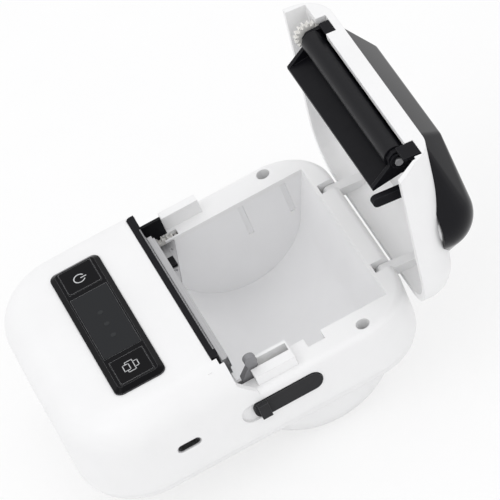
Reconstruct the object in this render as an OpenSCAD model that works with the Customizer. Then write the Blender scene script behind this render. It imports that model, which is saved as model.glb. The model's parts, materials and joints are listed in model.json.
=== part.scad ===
// Portable thermal label printer with a hinged roll cover, drawn with the cover standing open.
// Sizes are in millimetres. The drawing frame has X to the right, Y to the rear and Z up, with
// z = 0 on the front deck and y = 0 halfway along the body. place() moves a piece from there to
// the part's own frame, whose origin is the middle of the underside of the rest pad.
// Pieces of the cover are drawn as they lie with the cover shut, and cover_place() opens them.

/* [Body] */
// Width of the body
body_w = 104; // [100:1:108]
// Distance from the middle to the front end
front_len = 64.5; // [62:0.5:70]
// Distance from the middle to the rear end
rear_len = 66.3; // [66:0.1:67]
// Height of the front deck above the flat underside
body_h = 40.3; // [38:0.1:44]
// Corner radius at the front, seen from above
front_r = 26.5; // [22:0.5:28]
// Corner radius at the rear, seen from above
rear_r = 21; // [18:0.5:24]
// Rounding of the deck's edge
deck_edge = 11; // [8:0.5:12]
// Rounding of the lower edge
base_edge = 9; // [6:0.5:10]
// Rounding of the rim's outer edge
rim_edge = 2.2; // [1.8:0.1:2.6]
// Thickness of the shells
wall = 2.4; // [1.8:0.1:2.6]
// Depth of the roll bay's rim below the deck
rim_drop = 14; // [13.5:0.1:14.5]
// Height of the joint between the shells above the body's lower face
seam_rise = 6.5; // [5.5:0.1:7.5]
// Rear edge of the front deck
tear_y = -6.5; // [-7:0.1:-6.4]

/* [Roll bay] */
// Inner width of the roll bay
bay_w = 78.6; // [76:0.2:79]
// Radius of the cradle that the roll lies in
cradle_r = 27.4; // [26:0.2:28]
// Place of the cradle's axis along Y
cradle_y = 25.8; // [25:0.1:27]
// Depth of the cradle's axis below the deck
cradle_drop = 24.3; // [23:0.1:25]
// Distance of the bay's rear edge from the hinge axis
bay_rear_gap = 4.6; // [4.4:0.1:6]
// Thickness of the bay tub
tub_wall = 1.2; // [0.8:0.1:1.4]
// Thickness of the belly round the cradle
belly_wall = 1.6; // [1.2:0.1:2]
// How far the belly reaches past each side of the bay
belly_side = 6.4; // [6.4:0.1:8]
// Rounding of the belly's ends
belly_edge = 8; // [6:0.5:8]

/* [Control panel] */
// Length of the panel across the deck
panel_w = 71.6; // [68:0.2:74]
// Depth of the panel from front to rear
panel_d = 19.7; // [18.6:0.1:21]
// Place of the panel's middle along Y
panel_y = -31.2; // [-33:0.1:-30]
// Height of the panel above the deck
panel_rise = 1.8; // [1.2:0.1:2.4]
// Width of the sloped border of the panel
panel_slope = 2.6; // [2:0.1:2.8]
// Width of a key
key_w = 12.6; // [11:0.1:13]
// Depth of a key
key_d = 12.8; // [11:0.1:13]
// Distance of each key's middle from the middle of the panel
key_x = 26.7; // [26:0.1:27]
// Travel of a key
key_travel = 0.8; // [0.4:0.1:0.8]
// Width of the display window
window_w = 35.2; // [30:0.2:36]
// Depth of the display window
window_d = 14.1; // [12:0.1:14.2]
// Spacing of the status lights
led_pitch = 6.7; // [5:0.1:8]
// Place of the middle status light to the right of the panel's middle
led_x = 1.6; // [0:0.1:3]

/* [Cover] */
// Angle between the shut cover and the open one
cover_open = 97.5; // [90:0.5:98]
// Distance of the hinge axis from the rear end
hinge_inset = 3.1; // [3:0.1:3.4]
// Depth of the hinge axis below the deck
hinge_drop = 18.8; // [18.6:0.1:19]
// Radius of a hinge pin
pin_r = 1.25; // [1:0.05:1.4]
// Distance of each hinge from the middle
hinge_x = 24.8; // [22:0.1:28]
// Width of a hinge arm
arm_w = 4.4; // [3.6:0.1:4.6]
// Front face of the shut cover
cover_front_y = -2.5; // [-2.7:0.1:-2.4]
// Distance of the shut cover's rear end from the body's
cover_inset = 0.3; // [0.2:0.1:1.6]
// Corner radius of the cover at the rear, seen from above
cover_r = 16; // [14:0.5:20]
// Height of the cover's front edge above the deck
cover_rise = 0.8; // [0.6:0.1:1.4]
// Rounding of the cover's upper edge
cover_edge = 12; // [11:0.5:12.5]
// Thickness of the cover's walls
cover_wall = 2.4; // [2:0.1:2.6]
// Thickness of the dark lens
lens_wall = 1.6; // [1.2:0.1:1.8]
// Height of the lens above the deck
lens_top = 12.9; // [12:0.1:15]

/* [Platen] */
// Radius of the rubber roller
roller_r = 4.3; // [4:0.05:4.35]
// How much shorter the rubber roller is than the bay's width
roller_short = 4.6; // [4.2:0.1:8]
// Place of the shut platen's axis along Y
platen_y = 4; // [3.9:0.05:4.3]
// Depth of the shut platen's axis below the deck
platen_drop = 9.3; // [9:0.05:9.5]
// Radius of the platen shaft
shaft_r = 1.5; // [1.2:0.05:1.6]

/* [Gears] */
// Tooth module of the gear train
tooth_m = 0.6; // [0.55:0.01:0.6]
// Teeth on the platen gear
platen_teeth = 16; // [16:1:18]
// Teeth on the idler gear
idler_teeth = 30; // [28:1:30]
// Teeth on the motor pinion
pinion_teeth = 10; // [10:1:12]
// Width of the gears
gear_w = 2.2; // [2:0.1:2.4]

/* [Cover release] */
// Length of the sliding knob
knob_len = 26.5; // [24:0.5:27]
// Height of the sliding knob
knob_h = 7; // [6:0.1:7.4]
// Front end of the knob along Y
knob_y = -1.5; // [-2:0.1:-1]
// Depth of the knob's middle below the deck
knob_drop = 21.8; // [21:0.1:22.4]
// Travel of the knob towards the front
knob_travel = 4; // [3:0.1:4.2]

/* [Socket] */
// Width of the charging socket's opening
usb_w = 9.2; // [9.1:0.05:9.6]
// Height of the charging socket's opening
usb_h = 3.4; // [3.35:0.05:3.8]
// Place of the socket's middle along Y
usb_y = -26.7; // [-28:0.1:-26]
// Depth of the socket's middle below the deck
usb_drop = 20.6; // [20:0.1:21]

/* [Feet] */
// Half the length of the rest pad across the belly
pad_half = 32; // [28:0.5:36]
// Place of the rest pad's middle along Y
pad_y = 24; // [20:0.5:28]
// Depth of the rest pad from front to rear
pad_d = 34; // [28:0.5:40]
// Thickness of the rest pad under the lowest line of the belly
pad_t = 0.8; // [0.6:0.1:1.2]
// Radius of a front foot
foot_r = 4.5; // [4:0.1:5]
// Height of a front foot
foot_h = 1.2; // [1:0.1:2]

/* [Hidden] */
$fn = 64;

// Gaps between pieces
fit = 0.05;        // between a pin or shaft and its bore
slip = 0.3;        // between pieces that slide or swing past each other
lip = 0.15;        // round a piece that drops into an opening
big = 200;         // longer than anything that is cut

// Heights and places that follow from the driving dimensions
half_w = body_w / 2;
bay_half = bay_w / 2;
belly_half = bay_half + belly_side;
roller_len = bay_w - roller_short;
hinge_y = rear_len - hinge_inset;
bay_rear_y = hinge_y - bay_rear_gap;
cover_rear_y = rear_len - cover_inset;
rim_z = -rim_drop;
seam_z = seam_rise - body_h;
floor_z = -body_h + wall;
cradle_z = -cradle_drop;
belly_r = cradle_r + tub_wall + 0.3 + belly_wall;
base_z = cradle_z - belly_r - pad_t;
rim_t = 2;
rim_gap = 0.3;
cover_rim_z = rim_z + rim_gap;
hinge_z = -hinge_drop;
knuckle_r = 2.8;
platen_z = -platen_drop;

// The side cheeks of the body and the cover's front corners meet along one slanted line
cheek_gap = 0.6;
cheek_top_z = -7;
cheek_foot_y = 3.4;

// Panel and the small board under it
key_board_z = -6.2;
key_board_t = 1.2;
key_flange_t = 0.8;
key_flange = 0.8;
bezel_plug = panel_slope - 0.2;

// Tear bar and print head
peg_x = 15;
back_wall_y = tear_y - 2;
rest_foot_z = -16.5;
bar_rear_y = -3.4;
bar_front_y = tear_y + 0.1;
bar_half = bay_half - 1.7;
bar_end_x = bar_half + 2;
pocket_rear_y = 5;
head_rear_y = platen_y - roller_r - 0.15;
head_front_y = -3;
head_top_z = -6.3;
head_z = -13.8;
head_half = roller_len / 2 + 0.4;
bracket_t = 1.8;
flange_z = -15.6;
flange_t = 1;

// Drive train: the idler lies under the platen gear, square to the cover's radius, so that the
// gears come into mesh as the cover shuts
platen_pitch = tooth_m * platen_teeth / 2;
idler_pitch = tooth_m * idler_teeth / 2;
pinion_pitch = tooth_m * pinion_teeth / 2;
mesh_gap = 0.12;
swing = atan2(platen_z - hinge_z, hinge_y - platen_y);
idler_y = platen_y - (platen_pitch + idler_pitch + mesh_gap) * sin(swing);
idler_z = platen_z - (platen_pitch + idler_pitch + mesh_gap) * cos(swing);
motor_y = idler_y - idler_pitch - pinion_pitch - mesh_gap;
motor_z = idler_z;
motor_r = 6.2;
motor_len = 13;
motor_bore = 8;
motor_shaft_r = 1;
stud_r = 1.2;
gear_x = -bay_half - tub_wall - 0.1 - gear_w;
gear_slip = 0.4;
plate_x = gear_x + gear_w + 0.1;
plate_t = 0.8;
pocket_t = 1.2;
pocket_x = gear_x - 0.4 - pocket_t;

// Cover release
hook_x = bay_half + 2.1;
hook_t = 2.6;
hook_front_y = 0;
housing_top_z = -10;
housing_y = [4, 19.6];
slot_x = [bay_half + 1.4, bay_half + 5.3];
slot_y = [-4.8, 19];
finger_x = [bay_half + 2, bay_half + 4.6];
finger_y = [12.4, 16.2];
hook_base = 4.6;
rod_r = 1.7;
rod_z = -15.6;
rod_rear_y = 12;
arm_y = [4, 12];
arm_top_z = rod_z - rod_r;
stem_h = 2.8;
knob_t = 1.2;
knob_rear_y = knob_y + knob_len;

// Places of the screws that join the shells
rear_screw = [46.8, 45.9];
front_screw = [41, -42];
screw_r = 1.05;
screw_head_r = 2.2;
screw_head_t = 1.8;
counterbore_r = 2.5;
boss_r = 3.2;
rear_boss_r = 2.8;
rear_seat_z = -27;
rear_tip_z = -37.4;
front_seat_z = -36.5;
front_tip_z = seam_z + 9;

// Boards and battery
board_z = -usb_drop - 1.8 - 1.6;
board_t = 1.6;
post_x = 29;
post_y = [-48, -24];
post_r = 2.4;
foot_x = 28;
foot_y = -46;
battery_size = [50, 34, 10];
battery_y = -54;
board_x = [-33, 36];
board_y = [-52, -20];

// ------------------------------------------------------------------ frames

// From the drawing frame to the part's own frame
module place() {
    translate([0, -pad_y, -base_z]) children();
}

// From the shut cover's place to the open one
module cover_place() {
    place() translate([0, hinge_y, hinge_z]) rotate([-cover_open, 0, 0])
        translate([0, -hinge_y, -hinge_z]) children();
}

// Sends a profile drawn in Y and Z along X, from x0 to x1
module along_x(x0, x1) {
    translate([x0, 0, 0]) rotate([90, 0, 90]) linear_extrude(x1 - x0) children();
}

// A rod along X at a given place in Y and Z
module rod_x(x0, x1, y, z, r) {
    translate([x0, y, z]) rotate([0, 90, 0]) cylinder(h = x1 - x0, r = r);
}

// A rod along Y at a given place in X and Z
module rod_y(x, y0, y1, z, r) {
    translate([x, y0, z]) rotate([-90, 0, 0]) cylinder(h = y1 - y0, r = r);
}

// A block between two corners
module block(x, y, z) {
    translate([x[0], y[0], z[0]]) cube([x[1] - x[0], y[1] - y[0], z[1] - z[0]]);
}

// Both sides, mirrored in X
module both_sides() {
    children();
    mirror([1, 0, 0]) children();
}

// ------------------------------------------------------------------ rounded forms

// Half of a side profile: r wide, from zb to zt, with its outer edges rounded
module half_profile(r, zb, zt, et, eb) {
    difference() {
        translate([0, zb]) square([r, zt - zb]);
        if (et > 0) difference() {
            translate([r - et, zt - et]) square(et + 1);
            translate([r - et, zt - et]) circle(et);
        }
        if (eb > 0) difference() {
            translate([r - eb, zb - 1]) square(eb + 1);
            translate([r - eb, zb + eb]) circle(eb);
        }
    }
}

// A quarter of a turned corner, whose outside points along +X and +Y
module corner(x, y, r, zb, zt, et, eb) {
    translate([x, y, 0]) rotate_extrude(angle = 90) half_profile(r, zb, zt, et, eb);
}

// A rounded rectangle in plan with rounded upper and lower edges: half width hw, from yf to yr,
// with corner radii rf at the front and rr at the rear
module pill(hw, yf, yr, rf, rr, zb, zt, et, eb) {
    both_sides() {
        corner(hw - rr, yr - rr, rr, zb, zt, et, eb);
        mirror([0, 1, 0]) corner(hw - rf, -yf - rf, rf, zb, zt, et, eb);
        translate([0, yr - rr, 0]) rotate([90, 0, 0]) linear_extrude(yr - rr - yf - rf)
            half_profile(hw, zb, zt, et, eb);
    }
    along_x(rr - hw, hw - rr) translate([yr - rr, 0]) half_profile(rr, zb, zt, et, eb);
    along_x(rf - hw, hw - rf) translate([yf + rf, 0]) mirror([1, 0])
        half_profile(rf, zb, zt, et, eb);
}

// A flat block with rounded corners in plan
module slab(w, d, r, z0, z1) {
    translate([0, 0, z0]) linear_extrude(z1 - z0) {
        square([w - 2 * r, d], center = true);
        square([w, d - 2 * r], center = true);
        for (x = [-1, 1], y = [-1, 1]) translate([x * (w / 2 - r), y * (d / 2 - r)]) circle(r);
    }
}

// A capsule outline, long in its first direction
module capsule(len, h) {
    square([len - h, h], center = true);
    for (s = [-1, 1]) translate([s * (len - h) / 2, 0]) circle(h / 2);
}

// A capsule block on the right side wall, from x0 to x1, centred at y and z
module side_capsule(x0, x1, y, z, len, h) {
    along_x(x0, x1) translate([y, z]) capsule(len, h);
}

// ------------------------------------------------------------------ shells

// All in front of a cheek line, in Y and Z: the line leaves the cover's front face at cheek_top_z
// and meets the rim at foot_y
module cheek_region(shift, foot_y) {
    polygon([[-big, -big], [-big, big], [cover_front_y + shift, big],
        [cover_front_y + shift, cheek_top_z + min(shift, 0) / 2], [foot_y + shift, rim_z],
        [foot_y + shift, -big]]);
}

// All in front of both cheeks; the line is slanted on the right and upright on the left
module front_region(shift) {
    along_x(0, big) cheek_region(shift, cheek_foot_y);
    along_x(-big, 0) cheek_region(shift, cover_front_y);
}

// The whole outside of the body, grown inwards by t
module body_form(t) {
    intersection() {
        pill(half_w - t, -front_len + t, rear_len - t, front_r - t, rear_r - t,
            -body_h + t, -t, deck_edge - t, base_edge - t);
        front_region(-cheek_gap);
    }
    pill(half_w - t, -front_len + t, rear_len - t, front_r - t, rear_r - t, -body_h + t,
        t > 0 ? rim_z - rim_t : rim_z, t > 0 ? 0.4 : rim_edge, base_edge - t);
}

// The belly round the cradle, turned about the cradle's axis
module belly_form(r, half, edge) {
    translate([0, cradle_y, cradle_z]) rotate([0, 90, 0]) rotate_extrude()
        half_profile(r, -half, half, edge, edge);
}

// Section of the roll bay in Y and Z, grown outwards by o
function rear_wall_angle(r, dy, dz) = atan2(dz, dy) - acos(r / norm([dy, dz]));
module bay_section(o, top) {
    r = cradle_r + o;
    a = rear_wall_angle(r, bay_rear_y + o - cradle_y, rim_z - cradle_z);
    translate([cradle_y, cradle_z]) circle(r);
    polygon([[cradle_y - r, cradle_z], [cradle_y - r, top], [bay_rear_y + o, top],
        [bay_rear_y + o, rim_z], [cradle_y + r * cos(a), cradle_z + r * sin(a)],
        [cradle_y, cradle_z]]);
}

// Section of the bay tub below the rim plate, grown outwards by o
module tub_section(o) {
    intersection() {
        bay_section(o, rim_z - rim_t);
        translate([-big, -big]) square([2 * big, big + rim_z - rim_t]);
    }
}

// Small side pocket in the bay's right wall, for lifting the roll out
pocket_y = [25.6, 32.3];
pocket_reach = 44;
pocket_floor_z = -20;

// The opening that the cover fills in front of the bay
module head_well() {
    along_x(pocket_x - 0.1, bar_end_x + 2.2) polygon([[tear_y, 1], [bar_rear_y, big],
        [big, big], [big, rim_z - rim_t], [tear_y, rim_z - rim_t]]);
}

module upper_shell() place() color("whitesmoke") difference() {
    union() {
        difference() {
            body_form(0);
            body_form(wall);
        }
        // rim plate with its raised blocks beside the front of the bay
        intersection() {
            body_form(0);
            block([-half_w, half_w], [tear_y, rear_len], [rim_z - rim_t, rim_z]);
        }
        block([slot_x[0], half_w - cover_wall - slip], housing_y, [rim_z - rim_t, housing_top_z]);
        block([bay_half, slot_x[0]], [7.6, housing_y[1]], [rim_z - rim_t, housing_top_z]);
        block([-half_w + 3.6, pocket_x - 0.2], [pocket_rear_y + 0.3, 20], [rim_z - rim_t, -8]);
        // wall across the front of the well, which the tear frame and the head springs lean on
        block([-46, 46], [back_wall_y - 1.4, back_wall_y], [rest_foot_z, -1]);
        // hinge lugs
        both_sides() block([hinge_x - 7.2, hinge_x + 7.2],
            [bay_rear_y + tub_wall + 0.2, rear_len - 1], [hinge_z - 3.4, rim_z - 1]);
        // screw bosses
        both_sides() {
            translate([rear_screw[0], rear_screw[1], seam_z])
                cylinder(h = rim_z - 1 - seam_z, r = boss_r);
            translate([front_screw[0], front_screw[1], seam_z])
                cylinder(h = -1.5 - seam_z, r = boss_r);
        }
        // pegs that carry the key board
        both_sides() for (s = [-1, 1])
            translate([peg_x, panel_y + s * (panel_d / 2 - 1.15), key_board_z + key_board_t])
                cylinder(h = -1 - key_board_z - key_board_t, r = 1.1);
    }
    // all below the joint between the shells
    block([-big, big], [-big, big], [-big, seam_z]);
    // roll bay, its side pocket and the well in front of it
    along_x(-bay_w / 2, bay_w / 2) bay_section(0, big);
    block([bay_w / 2 - 1, pocket_reach], pocket_y, [-big, big]);
    intersection() {
        head_well();
        block([-half_w, half_w], [tear_y - 0.01, cheek_foot_y - cheek_gap + 0.01],
            [rim_z - rim_t, 2]);
    }
    // room for the bay tub below the rim
    along_x(-bay_w / 2 - tub_wall - 0.1, bay_w / 2 + tub_wall + 0.1) tub_section(tub_wall + 0.1);
    // slot for the gear train
    block([gear_x - gear_slip, gear_x + gear_w + gear_slip], [tear_y, 8.4], [rim_z - 10, rim_z + 1]);
    // slot for the latch
    block(slot_x, slot_y, [-big, big]);
    // panel opening, key rows and socket
    translate([0, panel_y, 0]) slab(panel_w - 2 * bezel_plug + 2 * lip,
        panel_d - 2 * bezel_plug + 2 * lip, 1, -wall - 2, 2);
    side_capsule(half_w - wall - 2, half_w + 1, usb_y, -usb_drop, usb_w, usb_h);
    // track and slot of the release knob
    side_capsule(half_w - knob_t, half_w + 1, knob_y + (knob_len - knob_travel) / 2 - 0.2,
        -knob_drop, knob_len + knob_travel + 2 * slip + 0.4, knob_h + 2 * slip);
    block([half_w - wall - 2, half_w], [arm_y[0] - knob_travel - slip, arm_y[1] + slip],
        [-knob_drop - stem_h / 2 - slip, -knob_drop + stem_h / 2 + slip]);
    // hinge slots and pin bores
    both_sides() {
        block([hinge_x - arm_w / 2 - slip, hinge_x + arm_w / 2 + slip],
            [bay_rear_y + tub_wall, big], [hinge_z - knuckle_r - 0.4, big]);
        rod_x(hinge_x - 5.2, hinge_x + 5.2, hinge_y, hinge_z, pin_r + 0.02);
    }
    // screw holes
    both_sides() {
        translate([rear_screw[0], rear_screw[1], rear_seat_z])
            cylinder(h = big, r = counterbore_r);
        translate([rear_screw[0], rear_screw[1], seam_z - 1]) cylinder(h = big, r = screw_r + fit);
        translate([front_screw[0], front_screw[1], seam_z - 1])
            cylinder(h = front_tip_z - seam_z + 2, r = screw_r + fit);
    }
}

// Outside of the lower shell
module lower_form() {
    pill(half_w, -front_len, rear_len, front_r, rear_r, -body_h, 0, deck_edge, base_edge);
    belly_form(belly_r, belly_half, belly_edge);
}

module lower_shell() place() color("white") difference() {
    union() {
        difference() {
            lower_form();
            pill(half_w - wall, -front_len + wall, rear_len - wall, front_r - wall,
                rear_r - wall, -body_h + wall, wall, deck_edge, base_edge - wall);
            belly_form(belly_r - belly_wall, belly_half - belly_wall, belly_edge - belly_wall - 1.5);
            block([-big, big], [-big, big], [seam_z, big]);
        }
        // screw bosses and board posts
        intersection() {
            lower_form();
            both_sides() {
                translate([rear_screw[0], rear_screw[1], -body_h])
                    cylinder(h = seam_z + body_h, r = rear_boss_r);
                translate([front_screw[0], front_screw[1], -body_h])
                    cylinder(h = seam_z + body_h, r = boss_r);
            }
        }
        both_sides() for (y = post_y) translate([post_x, y, floor_z - 1])
            cylinder(h = board_z - floor_z + 1, r = post_r);
    }
    both_sides() {
        translate([rear_screw[0], rear_screw[1], rear_tip_z - 0.3])
            cylinder(h = big, r = screw_r + fit);
        translate([front_screw[0], front_screw[1], -big])
            cylinder(h = big * 2, r = screw_r + fit);
        translate([front_screw[0], front_screw[1], -big])
            cylinder(h = big + front_seat_z, r = counterbore_r);
    }
}

module roll_bay() place() color("gainsboro") difference() {
    union() {
        along_x(-bay_w / 2 - tub_wall, bay_w / 2 + tub_wall) tub_section(tub_wall);
        block([bay_w / 2, pocket_reach + 1], [pocket_y[0] - 1, pocket_y[1] + 1],
            [pocket_floor_z - 1, rim_z - rim_t]);
    }
    along_x(-bay_w / 2, bay_w / 2) bay_section(0, big);
    block([bay_w / 2 - 1, pocket_reach], pocket_y, [pocket_floor_z, big]);
    // the front wall stays below the print head, and steps back over the head bracket
    block([-big, big], [-big, cradle_y - cradle_r + 3], [rim_z - rim_t - 0.2, big]);
    translate([0, 0, flange_z - 0.4]) linear_extrude(big) offset_flange(0.4);
    // the left wall's two upright grooves
    for (y = [32.7, 50]) block([-bay_w / 2 - 0.6, 0], [y - 1, y + 1], [-30, big]);
}

// Outline of the head bracket's flange, grown by g
flange_x = [-39, -18];
module offset_flange(g) {
    polygon([[flange_x[0] - g, -4.8], [flange_x[1] + g, -4.8], [flange_x[1] + g, 0.5 + g],
        [flange_x[0] - g, 6 + g]]);
}

// ------------------------------------------------------------------ control panel

module panel_bezel() place() color("#1d1f23") translate([0, panel_y, 0]) difference() {
    union() {
        hull() {
            slab(panel_w, panel_d, 3, 0.02, 0.5, $fn = 32);
            slab(panel_w - 2 * panel_slope + 1.2, panel_d - 2 * panel_slope + 1.2, 1.6,
                panel_rise - 0.2, panel_rise, $fn = 32);
        }
        slab(panel_w - 2 * bezel_plug, panel_d - 2 * bezel_plug, 0.9, -wall, 0.1);
    }
    for (s = [-1, 1]) translate([s * key_x, 0, -5]) linear_extrude(10)
        square([key_w + 2 * lip, key_d + 2 * lip], center = true);
    translate([0, 0, panel_rise - 0.7]) linear_extrude(3)
        square([window_w + 2 * lip, window_d + 2 * lip], center = true);
    for (i = [-1, 0, 1]) translate([led_x + i * led_pitch, 0, -5]) cylinder(h = 10, r = 1.1);
}

module display_window() place() color("#33363b") translate([0, panel_y, 0])
    slab(window_w, window_d, 0.6, panel_rise - 0.68, panel_rise + 0.02);

module status_leds() place() color("#9fb6c9") translate([0, panel_y, 0])
    for (i = [-1, 0, 1]) translate([led_x + i * led_pitch, 0, key_board_z + key_board_t])
        cylinder(h = panel_rise - 0.75 - key_board_z - key_board_t, r = 1);

module key_board() place() color("darkgreen") translate([0, panel_y, 0])
    slab(panel_w - 3, panel_d - 2, 1, key_board_z, key_board_z + key_board_t);

module key_switches() place() color("silver") translate([0, panel_y, 0])
    for (s = [-1, 1]) translate([s * key_x, 0, key_board_z + key_board_t]) {
        translate([-2.6, -2.6, 0]) cube([5.2, 5.2, 0.5]);
        translate([0, 0, 0.4]) cylinder(h = 0.2, r = 1.2);
    }

module key_cap(s) {
    translate([s * key_x, panel_y, 0]) {
        slab(key_w, key_d, 0.8, -wall - 0.1, panel_rise + 0.2);
        slab(key_w + 2 * key_flange, key_d + 2 * key_flange - 0.8, 0.8,
            -wall - 0.05 - key_flange_t, -wall - 0.05);
    }
}

module power_button() place() color("#232529") key_cap(-1);

module feed_button() place() color("#232529") key_cap(1);

// ------------------------------------------------------------------ tear bar and print head

bar_r = (bar_rear_y - bar_front_y) / 2;
module tear_frame() place() color("#2b2c2f") difference() {
    union() {
        // bar along the front of the well, with rounded ends
        block([pocket_x + bar_r, bar_end_x], [bar_front_y, bar_rear_y], [-6, 0.3]);
        block([pocket_x, pocket_x + 2 * bar_r], [bar_front_y + bar_r, bar_rear_y], [-6, 0.3]);
        for (x = [pocket_x + bar_r, bar_end_x]) translate([x, bar_front_y + bar_r, -6])
            cylinder(h = 6.3, r = bar_r);
        // back rest against the wall of the shell
        block([pocket_x, bar_half], [back_wall_y, bar_front_y + 0.2], [rest_foot_z, -5]);
        // side wall of the gear pocket at the left
        block([pocket_x, pocket_x + pocket_t], [bar_front_y + bar_r, bar_rear_y], [-16, -5]);
        block([pocket_x, pocket_x + pocket_t], [bar_rear_y - 0.1, cheek_foot_y - cheek_gap],
            [-16, front_wall_z - slip]);
        block([pocket_x, pocket_x + pocket_t], [bar_rear_y - 0.1, pocket_rear_y],
            [rim_z, front_wall_z - slip]);
    }
    // seats of the head springs
    for (x = spring_x) rod_y(x, back_wall_y - 1, bar_rear_y, spring_z, spring_r + 0.2);
    // groove for the blade and relief behind the upper edge
    block([-bar_half + 1, bar_half - 0.4], [bar_rear_y - 0.9, bar_rear_y + 1], [-3.2, 2]);
}

// A strip with a saw edge
blade_teeth = 48;
module tear_blade() place() color("#8d9094") {
    x0 = -bar_half + 1.2;
    step = (2 * bar_half - 1.8) / blade_teeth;
    translate([0, bar_rear_y - 0.3, 0]) rotate([90, 0, 0]) linear_extrude(0.5)
        polygon(concat([[x0, -3.15]], [for (i = [0 : blade_teeth - 1], k = [0, 1])
            [x0 + (i + k / 2) * step, k == 0 ? 0 : 0.45]],
            [[x0 + blade_teeth * step, 0], [x0 + blade_teeth * step, -3.15]]));
}

module print_head() place() color("#b9bcc0") {
    block([-head_half, head_half], [head_front_y, head_rear_y - 0.7], [head_z, head_top_z]);
    block([-head_half + 1, head_half - 1], [head_rear_y - 0.7, head_rear_y],
        [platen_z - 2.6, platen_z + 2.4]);
}

module head_bracket() place() color("#9a9da2") difference() {
    union() {
        block([-head_half - 1, head_half + 1], [head_front_y - bracket_t, head_front_y],
            [-19, head_top_z - 0.2]);
        intersection() {
            block([-big, big], [head_front_y - 1, big], [flange_z, flange_z + flange_t]);
            translate([0, 0, flange_z]) linear_extrude(flange_t) offset_flange(0);
        }
    }
    translate([-35, 3, flange_z - 1]) cylinder(h = 3, r = 0.7);
    translate([-24, 0.6, flange_z - 1]) cylinder(h = 3, r = 0.7);
    // the middle of the bracket's foot clears the bay tub
    block([-bay_w / 2 - tub_wall - 0.2, bay_w / 2 + tub_wall + 0.2],
        [cradle_y - cradle_r - tub_wall - 0.2, 0], [-big, flange_z - 0.2]);
}

// Small wound springs, drawn as tubes of their outer diameter
spring_wire = 0.5;
spring_r = 1.9;
spring_x = [-22, 0, 22];
spring_z = -12.5;
module spring_y(x, y0, y1, z, r) {
    difference() {
        rod_y(x, y0, y1, z, r);
        rod_y(x, y0 - 1, y1 + 1, z, r - spring_wire);
    }
}

// Three springs press the head bracket towards the platen
module head_springs() place() color("silver") for (x = spring_x)
    spring_y(x, back_wall_y, head_front_y - bracket_t, spring_z, spring_r);

module paper_sensor() place() color("#5b5e62")
    block([-31, -26], [-0.2, 2.4], [flange_z + flange_t, flange_z + flange_t + 0.8]);

// ------------------------------------------------------------------ inside the body

module usb_socket() place() color("silver") difference() {
    side_capsule(half_w - 7.6, half_w - 0.3, usb_y, -usb_drop, usb_w - 0.2, usb_h - 0.2);
    side_capsule(half_w - 6.8, half_w + 1, usb_y, -usb_drop, usb_w - 0.8, usb_h - 0.8);
}

module main_board() place() color("darkgreen") {
    block(board_x, board_y, [board_z, board_z + board_t]);
    block([board_x[1] - 1, half_w - wall - 0.4], [usb_y - 6, usb_y + 6],
        [board_z, board_z + board_t]);
    block([half_w - 7.4, half_w - wall - 0.4], [usb_y - 3.6, usb_y + 3.6],
        [board_z, -usb_drop - usb_h / 2 + 0.1]);
}

module battery() place() color("steelblue")
    block([-battery_size[0] / 2, battery_size[0] / 2], [battery_y, battery_y + battery_size[1]],
        [floor_z, floor_z + battery_size[2]]);

// Bracket of the drive train: the motor's plate in front of the tub, an outer plate with the
// idler's stud beside it, and a foot that joins them below the gears
stud_plate_x = gear_x - 0.1 - plate_t;
base_in = base_edge - wall;
base_over = max(0, -stud_plate_x - (half_w - base_edge));
plate_foot_z = floor_z + 0.1 + base_in - sqrt(base_in * base_in - pow(min(base_over, base_in), 2));
module gear_plate() place() color("#a5a8ad") {
    difference() {
        block([plate_x, plate_x + plate_t], [motor_y - motor_r, cradle_y - cradle_r - tub_wall - 0.4],
            [plate_foot_z, flange_z - 1]);
        rod_x(plate_x - 1, plate_x + 2, motor_y, motor_z, motor_shaft_r + 0.4);
    }
    block([stud_plate_x, stud_plate_x + plate_t], [idler_y - idler_pitch, idler_y + idler_pitch],
        [plate_foot_z, flange_z - 1]);
    block([stud_plate_x, plate_x + plate_t],
        [idler_y - idler_pitch, cradle_y - cradle_r - tub_wall - 0.4],
        [plate_foot_z, idler_z - idler_pitch - 1.2]);
    rod_x(stud_plate_x, gear_x + gear_w, idler_y, idler_z, stud_r);
}

module drive_motor() place() color("#b4b7bb") difference() {
    rod_x(plate_x + plate_t, plate_x + plate_t + motor_len, motor_y, motor_z, motor_r);
    rod_x(plate_x, plate_x + plate_t + motor_bore, motor_y, motor_z, motor_shaft_r + fit);
}

// A gear whose axis is X, turned by phase degrees
module gear(teeth, x, y, z, bore, phase) {
    rp = tooth_m * teeth / 2;
    ro = rp + tooth_m * 0.9;
    ri = rp - tooth_m * 1.15;
    t = 360 / teeth;
    difference() {
        along_x(x, x + gear_w) translate([y, z]) rotate(phase)
            polygon([for (i = [0 : teeth - 1], p = [[ri, -0.31], [ro, -0.11], [ro, 0.11], [ri, 0.31]])
                p[0] * [cos((i + p[1]) * t), sin((i + p[1]) * t)]]);
        rod_x(x - 1, x + gear_w + 1, y, z, bore);
    }
}

// Phases that put a tooth of one gear into a gap of the next
mesh_angle = 270 - swing;
platen_phase = mesh_angle;
idler_phase = mesh_angle - 180 + 180 / idler_teeth;
pinion_phase = (idler_phase - 180) * idler_teeth / pinion_teeth * -1 + 180 / pinion_teeth;

// The pinion and its shaft, which runs into the motor
module motor_pinion() place() color("#e8e6df") {
    gear(pinion_teeth, gear_x, motor_y, motor_z, motor_shaft_r - 0.1, pinion_phase);
    rod_x(gear_x, plate_x + plate_t + motor_bore - slip, motor_y, motor_z, motor_shaft_r);
}

module idler_gear() place() color("#e8e6df")
    gear(idler_teeth, gear_x, idler_y, idler_z, stud_r + fit, idler_phase);

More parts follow.
